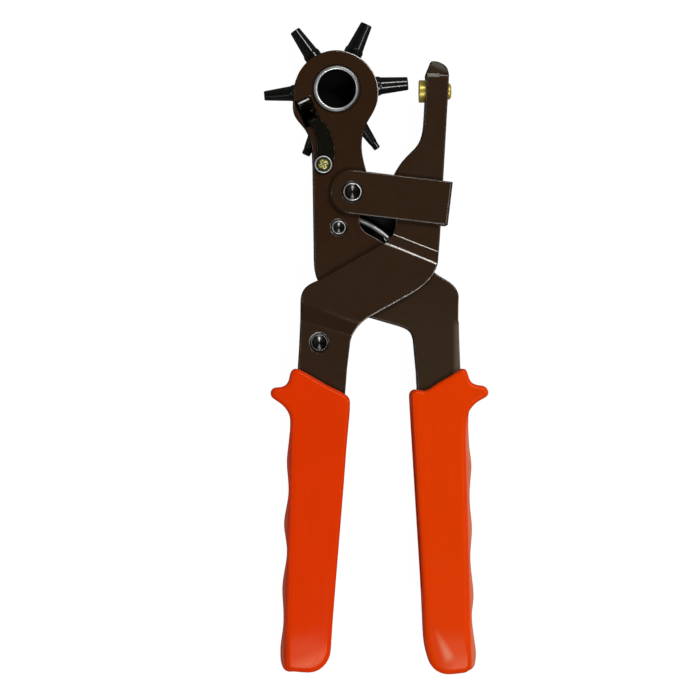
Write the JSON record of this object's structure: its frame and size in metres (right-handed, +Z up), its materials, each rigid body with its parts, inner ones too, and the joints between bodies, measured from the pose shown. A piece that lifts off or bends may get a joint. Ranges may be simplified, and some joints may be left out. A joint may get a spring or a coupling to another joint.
{
  "type": "rotary hole punch",
  "caption": "Plier-style leather punch with a revolving wheel of hollow tubes, a guide strap and a linked lever closing an anvil on the chosen tube.",
  "frame": {"origin": "centre of the bounding box in X and Y, at the table under the tool (lowest point)", "axes": "+X to the anvil side, +Y along the tool from the handles to the jaws, +Z up through its thickness as it lies flat"},
  "size_m": [0.086, 0.2505, 0.0208],
  "materials": {
    "brown_paint": "semi-gloss dark brown paint",
    "orange_plastic": "satin moulded plastic",
    "zinc_steel": "zinc plated",
    "bright_steel": "turned bright steel",
    "black_steel": "blackened steel",
    "tube_steel": "glossy black oxide",
    "spring_steel": "polished spring wire",
    "brass": "machined brass"
  },
  "bodies": {
    "punch_lever_body": {"punch_lever": "brown_paint", "right_grip": "orange_plastic", "wheel_axle": "zinc_steel", "wheel_washer_front": "zinc_steel", "wheel_washer_rear": "zinc_steel", "index_spring": "black_steel", "index_screw": "brass", "index_screw_washer": "bright_steel", "strap_rivet": "bright_steel", "strap_rivet_spacer": "bright_steel", "link_rivet_upper": "bright_steel", "spring_bush": "bright_steel", "guide_tongue": "black_steel", "return_spring": "spring_steel"},
    "turret": {"turret_wheel": "black_steel", "punch_tube_2_0mm": "tube_steel", "punch_tube_2_5mm": "tube_steel", "punch_tube_3_0mm": "tube_steel", "punch_tube_3_5mm": "tube_steel", "punch_tube_4_0mm": "tube_steel", "punch_tube_4_5mm": "tube_steel"},
    "strap": {"guide_strap": "brown_paint"},
    "link": {"lever_link": "black_steel", "link_spring_pin": "bright_steel"},
    "anvil_lever_body": {"anvil_lever": "brown_paint", "left_grip": "orange_plastic", "anvil": "brass", "link_rivet_lower": "bright_steel", "link_spacer_front": "bright_steel", "link_spacer_rear": "bright_steel"}
  },
  "joints": [
    {"name": "wheel_spin", "type": "hinge", "parent": "punch_lever_body", "child": "turret", "pos_m": [-0.01532, 0.09926, 0.0104], "axis": [0, 0, 1], "continuous": true},
    {"name": "link_swing", "type": "hinge", "parent": "punch_lever_body", "child": "link", "pos_m": [-0.01448, 0.04609, 0.0104], "axis": [0, 0, 1], "range_deg": [0, 7.8], "stiffness_Nm_per_rad": 4, "springref_deg": -6.88, "deforming": ["return_spring"]},
    {"name": "lever_on_link", "type": "hinge", "parent": "link", "child": "anvil_lever_body", "pos_m": [-0.02195, 0.00197, 0.0104], "axis": [0, 0, 1], "range_deg": [-2.2, 0.1]},
    {"name": "strap_swing", "type": "hinge", "parent": "punch_lever_body", "child": "strap", "pos_m": [-0.00933, 0.05969, 0.0104], "axis": [0, 0, 1], "range_deg": [-0.1, 6.8]}
  ],
  "couplings": [
    {"joint": "lever_on_link", "follows": "link_swing", "ratio": -0.2484},
    {"joint": "strap_swing", "follows": "link_swing", "ratio": 0.822}
  ]
}
